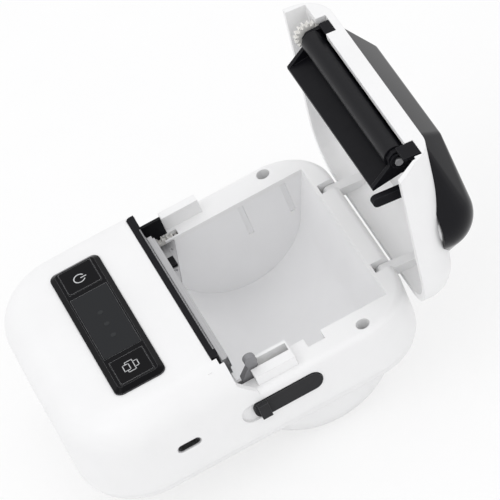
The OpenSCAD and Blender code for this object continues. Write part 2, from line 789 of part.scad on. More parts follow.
// Screws that join the shells: two down the rim's holes, two up from below
module screw(seat, tip, head_up) {
    translate([0, 0, min(seat, tip)]) cylinder(h = abs(seat - tip), r = screw_r);
    difference() {
        translate([0, 0, head_up ? seat : seat - screw_head_t])
            cylinder(h = screw_head_t, r = screw_head_r);
        translate([0, 0, head_up ? seat + screw_head_t - 0.9 : seat - screw_head_t - 1])
            for (a = [0, 90]) rotate(a) translate([-1.4, -0.3, 0]) cube([2.8, 0.6, 1.9]);
    }
}

module case_screws() place() color("#85888c") both_sides() {
    translate([rear_screw[0], rear_screw[1], 0]) screw(rear_seat_z, rear_tip_z, true);
    translate([front_screw[0], front_screw[1], 0]) screw(front_seat_z, front_tip_z, false);
}

module rest_pad() place() color("#3a3b3d") difference() {
    block([-pad_half, pad_half], [pad_y - pad_d / 2, pad_y + pad_d / 2],
        [base_z, cradle_z - belly_r + 6]);
    rod_x(-big, big, cradle_y, cradle_z, belly_r);
}

module front_feet() place() color("#3a3b3d") both_sides()
    translate([foot_x, foot_y, -body_h - foot_h]) cylinder(h = foot_h, r = foot_r);

module hinge_pins() place() color("silver") both_sides()
    rod_x(hinge_x - 5, hinge_x + 5, hinge_y, hinge_z, pin_r);

// ------------------------------------------------------------------ cover release

module latch_slider() place() color("#242528") {
    side_capsule(half_w - knob_t + 0.1, half_w + 0.5, knob_y + knob_len / 2, -knob_drop,
        knob_len, knob_h);
    // thumb ridge
    block([half_w, half_w + 2.2], [knob_y + 1.6, knob_y + 5.4],
        [-knob_drop - knob_h / 2 + 0.4, -knob_drop + knob_h / 2 - 0.4]);
    // stem through the wall and the arm inside
    block([hook_x + hook_t - 0.2, half_w - knob_t + 0.2], arm_y,
        [-knob_drop - stem_h / 2, -knob_drop + stem_h / 2]);
    block([hook_x, hook_x + hook_t], [hook_front_y, arm_y[1]],
        [-knob_drop - stem_h / 2, arm_top_z]);
}

module latch_rod() place() color("white")
    rod_y(hook_x + hook_t / 2, hook_front_y + hook_base, rod_rear_y, rod_z, rod_r);

// Hook plate that leans to the rear, with a rounded head
module latch_hook() place() color("#8b8d90") translate([0, hook_front_y, 0]) {
    rod_x(hook_x, hook_x + hook_t, 5.4, -7.4, 2.3);
    along_x(hook_x, hook_x + hook_t) polygon([[0, arm_top_z], [0, -13.2], [3.4, -9.6],
        [3.9, -7], [6.9, -7], [7.4, -9.6], [hook_base, -13.8], [hook_base, arm_top_z]]);
}

// ------------------------------------------------------------------ cover

// Balls that the lens is stretched over: x, y, radius, depth of the top below the lens's top
lens_balls = [[33.9, 45.5, 8.9, 5.8], [38.8, 33.6, 12.9, 0], [27.4, 11.3, 3.4, 2],
    [34, 3, 3.4, 10.7]];
lens_foot_z = -2.8;
module lens_form(t) {
    hull() for (b = lens_balls, s = [-1, 1])
        translate([s * b[0], b[1], lens_top - b[3] - b[2]]) sphere(max(b[2] - t, 0.1), $fn = 36);
}

// Outside of the white frame, grown inwards by t
module cover_form(t) {
    difference() {
        pill(half_w - t, -40, cover_rear_y - t, 3, cover_r - t, cover_rim_z - 4 * sign(t),
            cover_rise - t, cover_edge - t, 0);
        front_region(t);
    }
}

front_wall_z = -5.9;
bracket_y = cover_front_y + cover_wall + 0.1;
ear_x = half_w - cover_wall - 2.2;
module cover_frame() cover_place() color("white") {
    difference() {
        union() {
            cover_form(0);
            intersection() {
                lens_form(lens_wall + slip);
                block([-big, big], [cover_front_y, big], [-6, big]);
            }
        }
        cover_form(cover_wall);
        lens_form(lens_wall + slip + 1.6);
        block([-big, big], [-big, big], [-big, cover_rim_z]);
        // the front wall ends above the print head, and its ends are notched for the platen
        block([cover_wall - half_w, half_w - cover_wall], [-big, cheek_foot_y + cover_wall + 0.1],
            [-big, front_wall_z]);
        block([-bay_half - 0.7, -30], [-big, bracket_y - 0.1], [-big, -2]);
        block([bay_half + 0.7, ear_x + 0.8], [-big, bracket_y - 0.1], [-big, -3]);
        // pilots of the bracket screws
        both_sides() translate([bracket_screw[0], bracket_screw[1], -big])
            cylinder(h = big + cover_rise - 1, r = bracket_screw_r + fit);
    }
    // hinge arms
    both_sides() difference() {
        union() {
            rod_x(hinge_x - arm_w / 2, hinge_x + arm_w / 2, hinge_y, hinge_z, knuckle_r);
            block([hinge_x - arm_w / 2, hinge_x + arm_w / 2],
                [hinge_y - knuckle_r, cover_rear_y - cover_wall + 0.3], [hinge_z, -6]);
        }
        rod_x(hinge_x - 9, hinge_x + 9, hinge_y, hinge_z, pin_r + fit);
    }
}

module cover_lens() cover_place() color("#2f3133") difference() {
    intersection() {
        lens_form(0);
        block([-big, big], [cover_front_y + 0.4, big], [lens_foot_z, big]);
    }
    lens_form(lens_wall);
    cover_form(-0.02);
}

// Section of the guide plate behind the roller, in Y and Z
module guide_section() {
    polygon([[9, -1.7], [10.2, -1.7], [10.2, -9], [12.9, -20.2], [11.8, -20.2], [9, -9.2]]);
}

// End plate of the bracket, in Y and Z
module cheek_section() {
    polygon([[bracket_y, -1.7], [10.2, -1.7], [10.2, -9], [12.9, -20.2], [11.8, -20.2],
        [5.6, -12.6], [2.4, -12.6], [0.4, -10.6], [bracket_y, -6]]);
}

flange_top_z = cover_rise - cover_wall;
bracket_screw = [20, 6.4];
bracket_screw_r = 0.9;
cheek_x = [roller_len / 2 + 0.3, roller_len / 2 + 2];
module platen_bracket() cover_place() color("#222326") difference() {
    union() {
        along_x(-cheek_x[1], cheek_x[1]) guide_section();
        block([-cheek_x[1], cheek_x[1]], [bracket_y, 10.2], [-3.4, flange_top_z]);
        along_x(-cheek_x[1], -cheek_x[0]) cheek_section();
        along_x(cheek_x[0], cheek_x[1]) cheek_section();
        // right ear, seen in the notch of the front wall, and the finger beside the latch
        block([cheek_x[1] - 0.1, bay_half + 5.1], [bracket_y, finger_y[1]], [-4.4, -3.1]);
        block([bay_half + 1, bay_half + 5.1], [cover_front_y, 0.5], [-4.4, -3.1]);
        block([bay_half + 1, ear_x], [cover_front_y, cover_front_y + 1.2], [-9.6, -3.1]);
        block(finger_x, finger_y, [-20.6, -3.1]);
        along_x(finger_x[0], finger_x[1]) translate([sum2(finger_y) / 2, -20.6])
            circle((finger_y[1] - finger_y[0]) / 2);
        // left ear
        block([-37, -30.3], [cover_front_y, cover_front_y + 1.2], [front_wall_z, -2.2]);
        block([-37, -30.3], [cover_front_y, bracket_y + 0.4], [-3.4, -2.2]);
    }
    rod_x(-50, 50, platen_y, platen_z, bush_r + fit);
    both_sides() translate([bracket_screw[0], bracket_screw[1], -big])
        cylinder(h = 2 * big, r = bracket_screw_r + fit);
}
function sum2(v) = v[0] + v[1];

bush_r = 2.15;
module platen_bushes() cover_place() color("#3b3c3f") both_sides() difference() {
    union() {
        rod_x(cheek_x[0] - 0.2, cheek_x[1] + 0.4, platen_y, platen_z, bush_r);
        rod_x(cheek_x[1] + 0.05, cheek_x[1] + 0.8, platen_y, platen_z, bush_r + 0.7);
    }
    rod_x(cheek_x[0] - 2, cheek_x[1] + 3, platen_y, platen_z, shaft_r + fit);
}

module bracket_screws() cover_place() color("#85888c") both_sides()
    translate([bracket_screw[0], bracket_screw[1], 0]) {
        translate([0, 0, -4.3]) cylinder(h = 0.9, r = 1.8);
        translate([0, 0, -3.8]) cylinder(h = 3.8 + cover_rise - 1.1, r = bracket_screw_r);
    }

module platen_shaft() cover_place() color("silver")
    rod_x(gear_x - 0.1, cheek_x[1] + 1.6, platen_y, platen_z, shaft_r);

module platen_roller() cover_place() color("#2d2e30") difference() {
    rod_x(-roller_len / 2, roller_len / 2, platen_y, platen_z, roller_r);
    rod_x(-roller_len, roller_len, platen_y, platen_z, shaft_r);
}

module platen_gear() cover_place() color("#f2f1ec")
    gear(platen_teeth, gear_x, platen_y, platen_z, shaft_r, platen_phase);

// ------------------------------------------------------------------ nodes

upper_shell();
lower_shell();
roll_bay();
panel_bezel();
display_window();
status_leds();
key_board();
key_switches();
power_button();
feed_button();
tear_frame();
tear_blade();
print_head();
head_bracket();
head_springs();
usb_socket();
main_board();
battery();
drive_motor();
gear_plate();
motor_pinion();
idler_gear();
paper_sensor();
case_screws();
rest_pad();
front_feet();
hinge_pins();
latch_slider();
latch_rod();
latch_hook();
cover_frame();
cover_lens();
platen_bracket();
platen_bushes();
bracket_screws();
platen_shaft();
platen_roller();
platen_gear();
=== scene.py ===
import json
import math

import bmesh
import bpy
from mathutils import Matrix, Vector


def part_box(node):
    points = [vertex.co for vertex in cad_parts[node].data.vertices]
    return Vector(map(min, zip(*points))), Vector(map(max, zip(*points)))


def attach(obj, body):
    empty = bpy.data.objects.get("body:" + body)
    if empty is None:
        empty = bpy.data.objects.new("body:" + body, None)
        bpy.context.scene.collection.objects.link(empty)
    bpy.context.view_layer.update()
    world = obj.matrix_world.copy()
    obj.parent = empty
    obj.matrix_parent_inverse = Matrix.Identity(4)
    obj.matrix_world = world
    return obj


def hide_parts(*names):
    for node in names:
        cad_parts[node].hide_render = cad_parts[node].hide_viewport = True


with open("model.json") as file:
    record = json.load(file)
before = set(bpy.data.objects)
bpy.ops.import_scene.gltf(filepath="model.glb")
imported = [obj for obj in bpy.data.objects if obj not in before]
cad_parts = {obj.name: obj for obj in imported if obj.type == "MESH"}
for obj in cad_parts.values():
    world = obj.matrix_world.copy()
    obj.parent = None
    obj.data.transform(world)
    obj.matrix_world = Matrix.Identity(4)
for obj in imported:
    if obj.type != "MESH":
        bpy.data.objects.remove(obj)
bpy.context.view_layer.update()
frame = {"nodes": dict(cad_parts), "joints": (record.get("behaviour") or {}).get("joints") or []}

bl_info = {
    "name": "Portable Label Printer",
    "version": (1, 0, 0),
    "blender": (4, 5, 0),
    "location": "View3D > Sidebar > Label Printer",
    "description": "Dresses the CAD model of a small label printer, with a dark lens and a studio",
    "category": "Object",
}

MM = 0.001
NODES = frame["nodes"]
HINGE = next(joint for joint in frame["joints"] if joint["name"] == "cover_hinge")

# The CAD drawing has z = 0 on the front deck; the frame's origin is under the rest pad
DECK_Z = 55.6
MIDDLE_Y = -24.0


def place(x, y, z):
    """A point of the CAD drawing, in millimetres, in the part's frame."""
    return Vector((x, y + MIDDLE_Y, z + DECK_Z)) * MM


class PrinterSizes(bpy.types.PropertyGroup):
    """Sizes of the pieces that are modelled here"""

    cover_angle: bpy.props.FloatProperty(
        name="Cover angle", description="How far the cover stands open",
        default=math.radians(HINGE["range_deg"][1]), subtype="ANGLE")
    lens_wall: bpy.props.FloatProperty(
        name="Lens wall", description="Thickness of the dark lens",
        default=1.6 * MM, unit="LENGTH")
    lens_top: bpy.props.FloatProperty(
        name="Lens top", description="Height of the lens above the deck with the cover shut",
        default=12.9 * MM, unit="LENGTH")
    print_height: bpy.props.FloatProperty(
        name="Print height", description="Thickness of the printed marks on the keys",
        default=0.03 * MM, unit="LENGTH")
    edge_radius: bpy.props.FloatProperty(
        name="Edge radius", description="Apparent rounding of moulded edges",
        default=0.25 * MM, unit="LENGTH")


class PrinterColours(bpy.types.PropertyGroup):
    """Colours of the main finishes"""

    shell: bpy.props.FloatVectorProperty(
        name="Shell", description="White of the shells and the cover",
        default=(0.89, 0.89, 0.89), size=3, subtype="COLOR")
    bay: bpy.props.FloatVectorProperty(
        name="Bay", description="Near white of the roll bay",
        default=(0.90, 0.90, 0.905), size=3, subtype="COLOR")
    panel: bpy.props.FloatVectorProperty(
        name="Panel", description="Black of the panel and the keys",
        default=(0.004, 0.004, 0.005), size=3, subtype="COLOR")
    dark: bpy.props.FloatVectorProperty(
        name="Dark parts", description="Near black of the tear bar and the platen bracket",
        default=(0.007, 0.007, 0.009), size=3, subtype="COLOR")
    lens: bpy.props.FloatVectorProperty(
        name="Lens", description="Smoky black of the cover's lens",
        default=(0.006, 0.006, 0.008), size=3, subtype="COLOR")


# ---------------------------------------------------------------- shader effects

# Nearly all of a noise texture's values lie between these
NOISE_LOW, NOISE_HIGH = 0.3, 0.7

# Repeats per metre of the noise patterns
CLOUD_SCALE = 45.0
SHEEN_SCALE = 260.0
LINE_SCALES = (60.0, 2600.0, 2600.0)

# Fineness of the grain and the lines, and how far the lines darken or lighten a colour
GRAIN_DETAIL = 2.0
LINE_DETAIL = 4.0
LINE_TONES = (0.86, 1.05)

# The third group paints a lighter colour along edges as a highlight, and softens the edges' normals
GRAIN, LINES, EDGE_HIGHLIGHT = "Moulded grain", "Brushed lines", "Painted edge highlight"

# How strongly the painted edge highlight grows with the lean of an edge, and the rays that find the
# edge
HIGHLIGHT_GAIN = 4.0
EDGE_RAYS = 6
BUMP_STRENGTH = 0.25


def effect(name, inputs, outputs):
    """A new shader node group with the given sockets, and its input and output nodes."""
    tree = bpy.data.node_groups.new(name, "ShaderNodeTree")
    for label, kind, value in inputs:
        socket = tree.interface.new_socket(label, in_out="INPUT", socket_type=kind)
        if value is not None:
            socket.default_value = value
    for label, kind in outputs:
        tree.interface.new_socket(label, in_out="OUTPUT", socket_type=kind)
    return tree, tree.nodes.new("NodeGroupInput"), tree.nodes.new("NodeGroupOutput")


def join(tree, value, socket):
    """Links a socket, or sets a constant; a colour of three numbers is made opaque."""
    if isinstance(value, bpy.types.NodeSocket):
        tree.links.new(value, socket)
    elif socket.type == "RGBA" and len(value) == 3:
        socket.default_value = (*value, 1.0)
    else:
        socket.default_value = value


def mix_colour(tree, fac, a, b):
    """A colour mix node; each argument is a socket or a constant."""
    mix = tree.nodes.new("ShaderNodeMix")
    mix.data_type = "RGBA"
    # a colour mix has its sockets of other types before its own, so they are taken by number
    for socket, value in ((mix.inputs[0], fac), (mix.inputs[6], a), (mix.inputs[7], b)):
        join(tree, value, socket)
    return mix.outputs[2]


def maths(tree, operation, a, b):
    """A maths node; each argument is a socket or a number."""
    node = tree.nodes.new("ShaderNodeMath")
    node.operation = operation
    join(tree, a, node.inputs[0])
    join(tree, b, node.inputs[1])
    return node.outputs[0]


def shaded(tree, colour, shade):
    """A colour made darker or lighter by a factor."""
    node = tree.nodes.new("ShaderNodeVectorMath")
    node.operation = "SCALE"
    join(tree, colour, node.inputs[0])
    join(tree, shade, node.inputs["Scale"])
    return node.outputs[0]


def noise(tree, vector, scale, detail=3.0):
    """A noise texture's grey output."""
    node = tree.nodes.new("ShaderNodeTexNoise")
    join(tree, vector, node.inputs["Vector"])
    join(tree, scale, node.inputs["Scale"])
    node.inputs["Detail"].default_value = detail
    return node.outputs["Fac"]


def spread(tree, value, low, high):
    """Maps a noise to the range low to high."""
    node = tree.nodes.new("ShaderNodeMapRange")
    node.inputs["From Min"].default_value = NOISE_LOW
    node.inputs["From Max"].default_value = NOISE_HIGH
    join(tree, value, node.inputs["Value"])
    join(tree, low, node.inputs["To Min"])
    join(tree, high, node.inputs["To Max"])
    return node.outputs["Result"]


def surface_effect(name, smooth, rough, extra=()):
    """A group that turns coordinates and a colour into a colour, a roughness and a height."""
    return effect(name, [
        ("Coordinates", "NodeSocketVector", None), ("Colour", "NodeSocketColor", None),
        *extra, ("Smooth", "NodeSocketFloat", smooth), ("Rough", "NodeSocketFloat", rough)],
        [("Colour", "NodeSocketColor"), ("Roughness", "NodeSocketFloat"),
         ("Height", "NodeSocketFloat")])


def moulded_grain():
    """Fine spark grain of moulded plastic with faint cloudy colour."""
    tree, given, made = surface_effect(GRAIN, 0.4, 0.5, [
        ("Grain scale", "NodeSocketFloat", 3000.0), ("Cloud", "NodeSocketFloat", 0.03)])
    at = given.outputs["Coordinates"]
    grain = noise(tree, at, given.outputs["Grain scale"], GRAIN_DETAIL)
    cloud = noise(tree, at, CLOUD_SCALE)
    shade = spread(tree, cloud, maths(tree, "SUBTRACT", 1.0, given.outputs["Cloud"]), 1.0)
    join(tree, shaded(tree, given.outputs["Colour"], shade), made.inputs["Colour"])
    sheen = noise(tree, at, SHEEN_SCALE)
    join(tree, spread(tree, sheen, given.outputs["Smooth"], given.outputs["Rough"]),
         made.inputs["Roughness"])
    join(tree, grain, made.inputs["Height"])


def brushed_lines():
    """Fine lines of rolled or brushed sheet, drawn out along X."""
    tree, given, made = surface_effect(LINES, 0.25, 0.45)
    stretch = tree.nodes.new("ShaderNodeMapping")
    stretch.inputs["Scale"].default_value = LINE_SCALES
    join(tree, given.outputs["Coordinates"], stretch.inputs["Vector"])
    lines = noise(tree, stretch.outputs[0], 1.0, LINE_DETAIL)
    tone = spread(tree, lines, *LINE_TONES)
    join(tree, shaded(tree, given.outputs["Colour"], tone), made.inputs["Colour"])
    join(tree, spread(tree, lines, given.outputs["Smooth"], given.outputs["Rough"]),
         made.inputs["Roughness"])
    join(tree, lines, made.inputs["Height"])


def painted_edge_highlight():
    """Mask where a painted highlight goes along edges, and a normal that rounds them a little."""
    tree, given, made = effect(EDGE_HIGHLIGHT, [("Amount", "NodeSocketFloat", 1.0)],
                               [("Mask", "NodeSocketFloat"), ("Normal", "NodeSocketVector")])
    soft = tree.nodes.new("ShaderNodeBevel")
    soft.samples = EDGE_RAYS
    soft.inputs["Radius"].default_value = bpy.context.scene.printer_sizes.edge_radius
    flat = tree.nodes.new("ShaderNodeNewGeometry")
    turn = tree.nodes.new("ShaderNodeVectorMath")
    turn.operation = "DOT_PRODUCT"
    join(tree, soft.outputs[0], turn.inputs[0])
    join(tree, flat.outputs["Normal"], turn.inputs[1])
    lean = maths(tree, "SUBTRACT", 1.0, turn.outputs["Value"])
    gain = maths(tree, "MULTIPLY", given.outputs["Amount"], HIGHLIGHT_GAIN)
    # The mask sets where the lighter colour of the painted edge highlight is mixed in
    mask = maths(tree, "MULTIPLY", lean, gain)
    mask.node.use_clamp = True
    join(tree, mask, made.inputs["Mask"])
    join(tree, soft.outputs[0], made.inputs["Normal"])


def placed_group(tree, name):
    """A node group set into a material."""
    node = tree.nodes.new("ShaderNodeGroup")
    node.node_tree = bpy.data.node_groups[name]
    return node


def finish(name, grain, colour, smooth, rough, depth, painted_highlight=0.0, painted_highlight_colour=(0.5, 0.5, 0.5),
           metallic=0.0, specular=0.5):
    """A material: grain of a depth in millimetres, a roughness range, a painted highlight along the
    edges and softened edges.
    """
    if name in bpy.data.materials:
        return bpy.data.materials[name]
    made = bpy.data.materials.new(name)
    made.use_nodes = True
    tree = made.node_tree
    shader = tree.nodes["Principled BSDF"]
    coords = tree.nodes.new("ShaderNodeTexCoord").outputs["Object"]
    surface = placed_group(tree, grain)
    join(tree, coords, surface.inputs["Coordinates"])
    join(tree, tuple(colour), surface.inputs["Colour"])
    surface.inputs["Smooth"].default_value = smooth
    surface.inputs["Rough"].default_value = rough
    edges = placed_group(tree, EDGE_HIGHLIGHT)
    edges.inputs["Amount"].default_value = painted_highlight
    tone = surface.outputs["Colour"]
    # Painted highlight: the colour along the edges is mixed towards a lighter grey
    if painted_highlight > 0:
        tone = mix_colour(tree, edges.outputs["Mask"], tone, painted_highlight_colour)
    join(tree, tone, shader.inputs["Base Color"])
    join(tree, surface.outputs["Roughness"], shader.inputs["Roughness"])
    bump = tree.nodes.new("ShaderNodeBump")
    bump.inputs["Strength"].default_value = BUMP_STRENGTH
    bump.inputs["Distance"].default_value = depth * MM
    join(tree, surface.outputs["Height"], bump.inputs["Height"])
    join(tree, edges.outputs["Normal"], bump.inputs["Normal"])
    join(tree, bump.outputs[0], shader.inputs["Normal"])
    shader.inputs["Metallic"].default_value = metallic
    shader.inputs["Specular IOR Level"].default_value = specular
    return made


def finishes():
    """Every finish by its name: effect, colour, lowest and highest roughness, grain depth."""
    colours = bpy.context.scene.printer_colours
    return {
        "shell": finish("White shell", GRAIN, colours.shell, 0.34, 0.44, 0.015),
        "bay": finish("Grey bay", GRAIN, colours.bay, 0.42, 0.55, 0.02),
        "grey": finish("Grey moulding", GRAIN, (0.25, 0.25, 0.26), 0.4, 0.5, 0.02),
        # The panel, the dark mouldings and the knob get a lighter grey painted along their edges as
        # a highlight
        "gloss": finish("Panel black", GRAIN, colours.panel, 0.10, 0.16, 0.002,
                        painted_highlight=1.6, painted_highlight_colour=(0.30, 0.30, 0.31), specular=0.08),
        "window": finish("Window black", GRAIN, (0.015, 0.016, 0.018), 0.07, 0.11, 0.001,
                         specular=0.14),
        "spot": finish("Light spot", GRAIN, (0.026, 0.028, 0.030), 0.15, 0.25, 0.001,
                       specular=0.14),
        "print": finish("Key print", GRAIN, (0.62, 0.63, 0.64), 0.45, 0.55, 0.002),
        "lens": finish("Smoked lens", GRAIN, colours.lens, 0.06, 0.10, 0.001,
                       specular=0.16),
        "dark": finish("Dark moulding", GRAIN, colours.dark, 0.38, 0.5, 0.02, painted_highlight=1.0,
                       painted_highlight_colour=(0.06, 0.06, 0.065), specular=0.09),
        "knob": finish("Knob moulding", GRAIN, (0.026, 0.026, 0.028), 0.38, 0.5, 0.02, painted_highlight=1.0,
                       painted_highlight_colour=(0.12, 0.12, 0.125), specular=0.15),
        "steel": finish("Rolled steel", LINES, (0.50, 0.50, 0.51), 0.28, 0.42, 0.003, metallic=1.0),
        "blade": finish("Blade steel", LINES, (0.30, 0.30, 0.31), 0.25, 0.4, 0.002, metallic=1.0),
        "bracket": finish("Bracket steel", LINES, (0.42, 0.42, 0.43), 0.3, 0.45, 0.003,
                          metallic=1.0),
        "head": finish("Print head block", LINES, (0.48, 0.48, 0.49), 0.3, 0.45, 0.002,
                       metallic=1.0),
        "gear": finish("Gear plastic", GRAIN, (0.80, 0.79, 0.76), 0.35, 0.45, 0.01),
        "rubber": finish("Roller rubber", GRAIN, (0.007, 0.007, 0.009), 0.3, 0.4, 0.01,
                         specular=0.15),
        "foot": finish("Foot rubber", GRAIN, (0.045, 0.045, 0.047), 0.7, 0.85, 0.03),
        "board": finish("Board green", GRAIN, (0.02, 0.12, 0.05), 0.35, 0.5, 0.03),
        "wrap": finish("Battery wrap", GRAIN, (0.08, 0.17, 0.36), 0.3, 0.4, 0.02),
    }


NODE_FINISH = {
    "upper_shell": "shell", "lower_shell": "shell", "roll_bay": "bay", "panel_bezel": "gloss",
    "display_window": "window", "status_leds": "spot", "key_board": "board",
    "key_switches": "steel", "power_button": "gloss", "feed_button": "gloss",
    "tear_frame": "dark", "tear_blade": "blade", "print_head": "head",
    "head_bracket": "bracket", "head_springs": "steel", "usb_socket": "steel",
    "main_board": "board", "battery": "wrap", "drive_motor": "steel", "gear_plate": "bracket",
    "motor_pinion": "gear", "idler_gear": "gear", "paper_sensor": "dark",
    "case_screws": "steel", "rest_pad": "foot", "front_feet": "foot", "hinge_pins": "steel",
    "latch_slider": "knob", "latch_rod": "gear", "latch_hook": "grey", "cover_frame": "shell",
    "cover_lens": "lens", "platen_bracket": "dark", "platen_bushes": "dark",
    "bracket_screws": "steel", "platen_shaft": "steel", "platen_roller": "rubber",
    "platen_gear": "gear",
}


# ---------------------------------------------------------------- modelling helpers

SMOOTH_ANGLE = math.radians(32)


def deselect():
    """Leaves edit mode and deselects every object."""
    if bpy.context.object and bpy.context.object.mode != "OBJECT":
        bpy.ops.object.mode_set(mode="OBJECT")
    bpy.ops.object.select_all(action="DESELECT")


def alone(piece):
    """Selects one object and makes it active."""
    deselect()
    piece.select_set(True)
    bpy.context.view_layer.objects.active = piece
    return piece


def settle(piece, name, finish_name, body):
    """Applies a piece's place, names it, paints it and lets it ride on its body."""
    alone(piece)
    bpy.ops.object.transform_apply(location=True, rotation=True, scale=True)
    piece.name = name
    piece.data.materials.clear()
    piece.data.materials.append(finishes()[finish_name])
    bpy.ops.object.shade_smooth_by_angle(angle=SMOOTH_ANGLE)
    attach(piece, body)
    return piece


def edit_all(piece):
    """Opens one object in edit mode with all of its mesh selected."""
    alone(piece)
    bpy.ops.object.mode_set(mode="EDIT")
    bpy.ops.mesh.select_all(action="SELECT")


def joined(shapes):
    """Joins shapes into the last one."""
    deselect()
    for shape in shapes:
        shape.select_set(True)
    bpy.context.view_layer.objects.active = shapes[-1]
    bpy.ops.object.join()
    return shapes[-1]


def cut(piece, tool, operation="DIFFERENCE"):
    """Applies a boolean of piece with tool, and removes tool."""
    alone(piece)
    change = piece.modifiers.new("Cut", "BOOLEAN")
    change.operation, change.object, change.solver = operation, tool, "EXACT"
    bpy.ops.object.modifier_apply(modifier=change.name)
    bpy.data.objects.remove(tool)
    return piece


def swing_open(piece):
    """Turns a piece from the shut cover's place to the open one."""
    hinge = Vector(HINGE["pos_m"])
    angle = bpy.context.scene.printer_sizes.cover_angle
    piece.matrix_world = (Matrix.Translation(hinge) @ Matrix.Rotation(-angle, 4, "X")
                          @ Matrix.Translation(-hinge) @ piece.matrix_world)
    return piece


def block(x, y, z):
    """A box between two corners of the CAD drawing, in millimetres."""
    deselect()
    centre = place(*[sum(side) / 2 for side in (x, y, z)])
    bpy.ops.mesh.primitive_cube_add(size=1, location=centre)
    made = bpy.context.object
    made.scale = [(side[1] - side[0]) * MM for side in (x, y, z)]
    bpy.ops.object.transform_apply(location=False, rotation=False, scale=True)
    return made


# ---------------------------------------------------------------- cover lens

# All in the CAD drawing's millimetres, with the cover shut.
# Balls that the lens is stretched over: x, y, radius, depth of the top below the lens's top
LENS_BALLS = ((33.9, 45.5, 8.9, 5.8), (38.8, 33.6, 12.9, 0), (27.4, 11.3, 3.4, 2),
              (34, 3, 3.4, 10.7))
BALL_SEGMENTS = 72
SMALLEST_BALL = 0.1
LENS_FRONT_Y = -2.1
LENS_FOOT_Z = -2.8

# White cover that the lens is cut back to, and the gap that is kept to it
COVER_HALF_WIDTH = 52
COVER_REAR_Y = 66
COVER_RIM_Z = -13.7
COVER_TOP_Z = 0.8
COVER_CORNER = 16
COVER_ROUND = 12
CORNER_SEGMENTS = 40
ROUND_SEGMENTS = 24
SEAT_GAP = 0.02
FACES_UP = 0.9

# Past everything, for cuts
FAR_X, FAR_FRONT, FAR_REAR, FAR_UP = 60, -40, 80, 40


def lens_form(inset):
    """The smooth hull of the lens's balls, grown inwards."""
    top = bpy.context.scene.printer_sizes.lens_top / MM
    deselect()
    balls = []
    for x, y, radius, drop in LENS_BALLS:
        for side in (-1, 1):
            bpy.ops.mesh.primitive_uv_sphere_add(
                segments=BALL_SEGMENTS, ring_count=BALL_SEGMENTS // 2,
                radius=max(radius - inset, SMALLEST_BALL) * MM,
                location=place(side * x, y, top - drop - radius), rotation=(0, math.pi / 2, 0))
            balls.append(bpy.context.object)
    form = alone(joined(balls))
    bpy.ops.object.transform_apply(location=True, rotation=True, scale=True)
    edit_all(form)
    bpy.ops.mesh.convex_hull()
    bpy.ops.object.mode_set(mode="OBJECT")
    return form


def round_edges(body, picked, radius, segments):
    """Rounds the edges of a body in edit mode that pass a test of the edge and its two ends."""
    mesh = bmesh.from_edit_mesh(body.data)
    for edge in mesh.edges:
        ends = [body.matrix_world @ corner.co for corner in edge.verts]
        edge.select = picked(edge, *ends)
    bmesh.update_edit_mesh(body.data)
    bpy.ops.mesh.bevel(offset=radius * MM, segments=segments, affect="EDGES",
                       clamp_overlap=False)


def upright_at_rear(edge, a, b):
    """Whether an edge of the cover's block is one of its two upright rear corners."""
    return abs(a.z - b.z) > MM and a.y > 0


def around_top(edge, a, b):
    """Whether an edge runs around the top face of the cover's block."""
    level = min(a.z, b.z) > place(0, 0, COVER_TOP_Z).z
    return level and sum(face.normal.z > FACES_UP for face in edge.link_faces) == 1


def cover_block():
    """The rounded body of the white cover, which the lens is cut back to."""
    half = COVER_HALF_WIDTH + SEAT_GAP
    body = block((-half, half), (FAR_FRONT, COVER_REAR_Y + SEAT_GAP),
                 (COVER_RIM_Z, COVER_TOP_Z + SEAT_GAP))
    alone(body)
    bpy.ops.object.mode_set(mode="EDIT")
    round_edges(body, upright_at_rear, COVER_CORNER + SEAT_GAP, CORNER_SEGMENTS)
    round_edges(body, around_top, COVER_ROUND + SEAT_GAP, ROUND_SEGMENTS)
    bpy.ops.object.mode_set(mode="OBJECT")
    return body


class LABELPRINTER_OT_lens(bpy.types.Operator):
    """Model the smooth dark lens of the cover in place of the faceted solid"""

    bl_idname = "label_printer.lens"
    bl_label = "Cover Lens"

    def execute(self, context):
        sizes = context.scene.printer_sizes
        lens = lens_form(0)
        seen = block((-FAR_X, FAR_X), (LENS_FRONT_Y, FAR_REAR), (LENS_FOOT_Z, FAR_UP))
        cut(lens, seen, "INTERSECT")
        cut(lens, lens_form(sizes.lens_wall / MM))
        cut(lens, cover_block())
        settle(swing_open(lens), "lens_dome", "lens", "cover")
        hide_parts("cover_lens")
        return {"FINISHED"}


# ---------------------------------------------------------------- marks on the panel

# Signs on the keys: their middles from the middle of each key's top, and their lines, in mm
POWER_MIDDLE = (0.6, -0.3)
POWER_RADIUS = 2.3
POWER_LINE = 0.44
POWER_GAP = 30
POWER_BAR = (0, 1.6, 0.46, 2.3)
RING_VERTICES = 48
FEED_MIDDLE = (-0.1, 0.0)
FEED_LINE = 0.32
# Level lines of the feed sign: y, width. Lines on both its sides, as the power sign's bar:
# x, y, width, depth
FEED_LEVELS = ((2.6, 3.2), (1.0, 5.6), (-0.7, 3.4), (-3.0, 3.4))
FEED_SIDES = ((1.44, 1.8, FEED_LINE, 1.6), (2.64, -0.4, FEED_LINE, 2.8),
              (2.15, -1.8, 1.0, FEED_LINE), (1.54, -1.8, FEED_LINE, 2.4))

# Light spots on the window, one above each light pipe of status_leds
SPOT_RADIUS = 1.05
SPOT_VERTICES = 24
SPOT_LIFT = 0.01
PIPE_RADIUS = 1.0


def top_middle(node, offset=(0, 0)):
    """The middle of a node's top, moved by millimetres in x and y."""
    low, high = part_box(node)
    return Vector(((low.x + high.x) / 2 + offset[0] * MM, (low.y + high.y) / 2 + offset[1] * MM,
                   high.z))


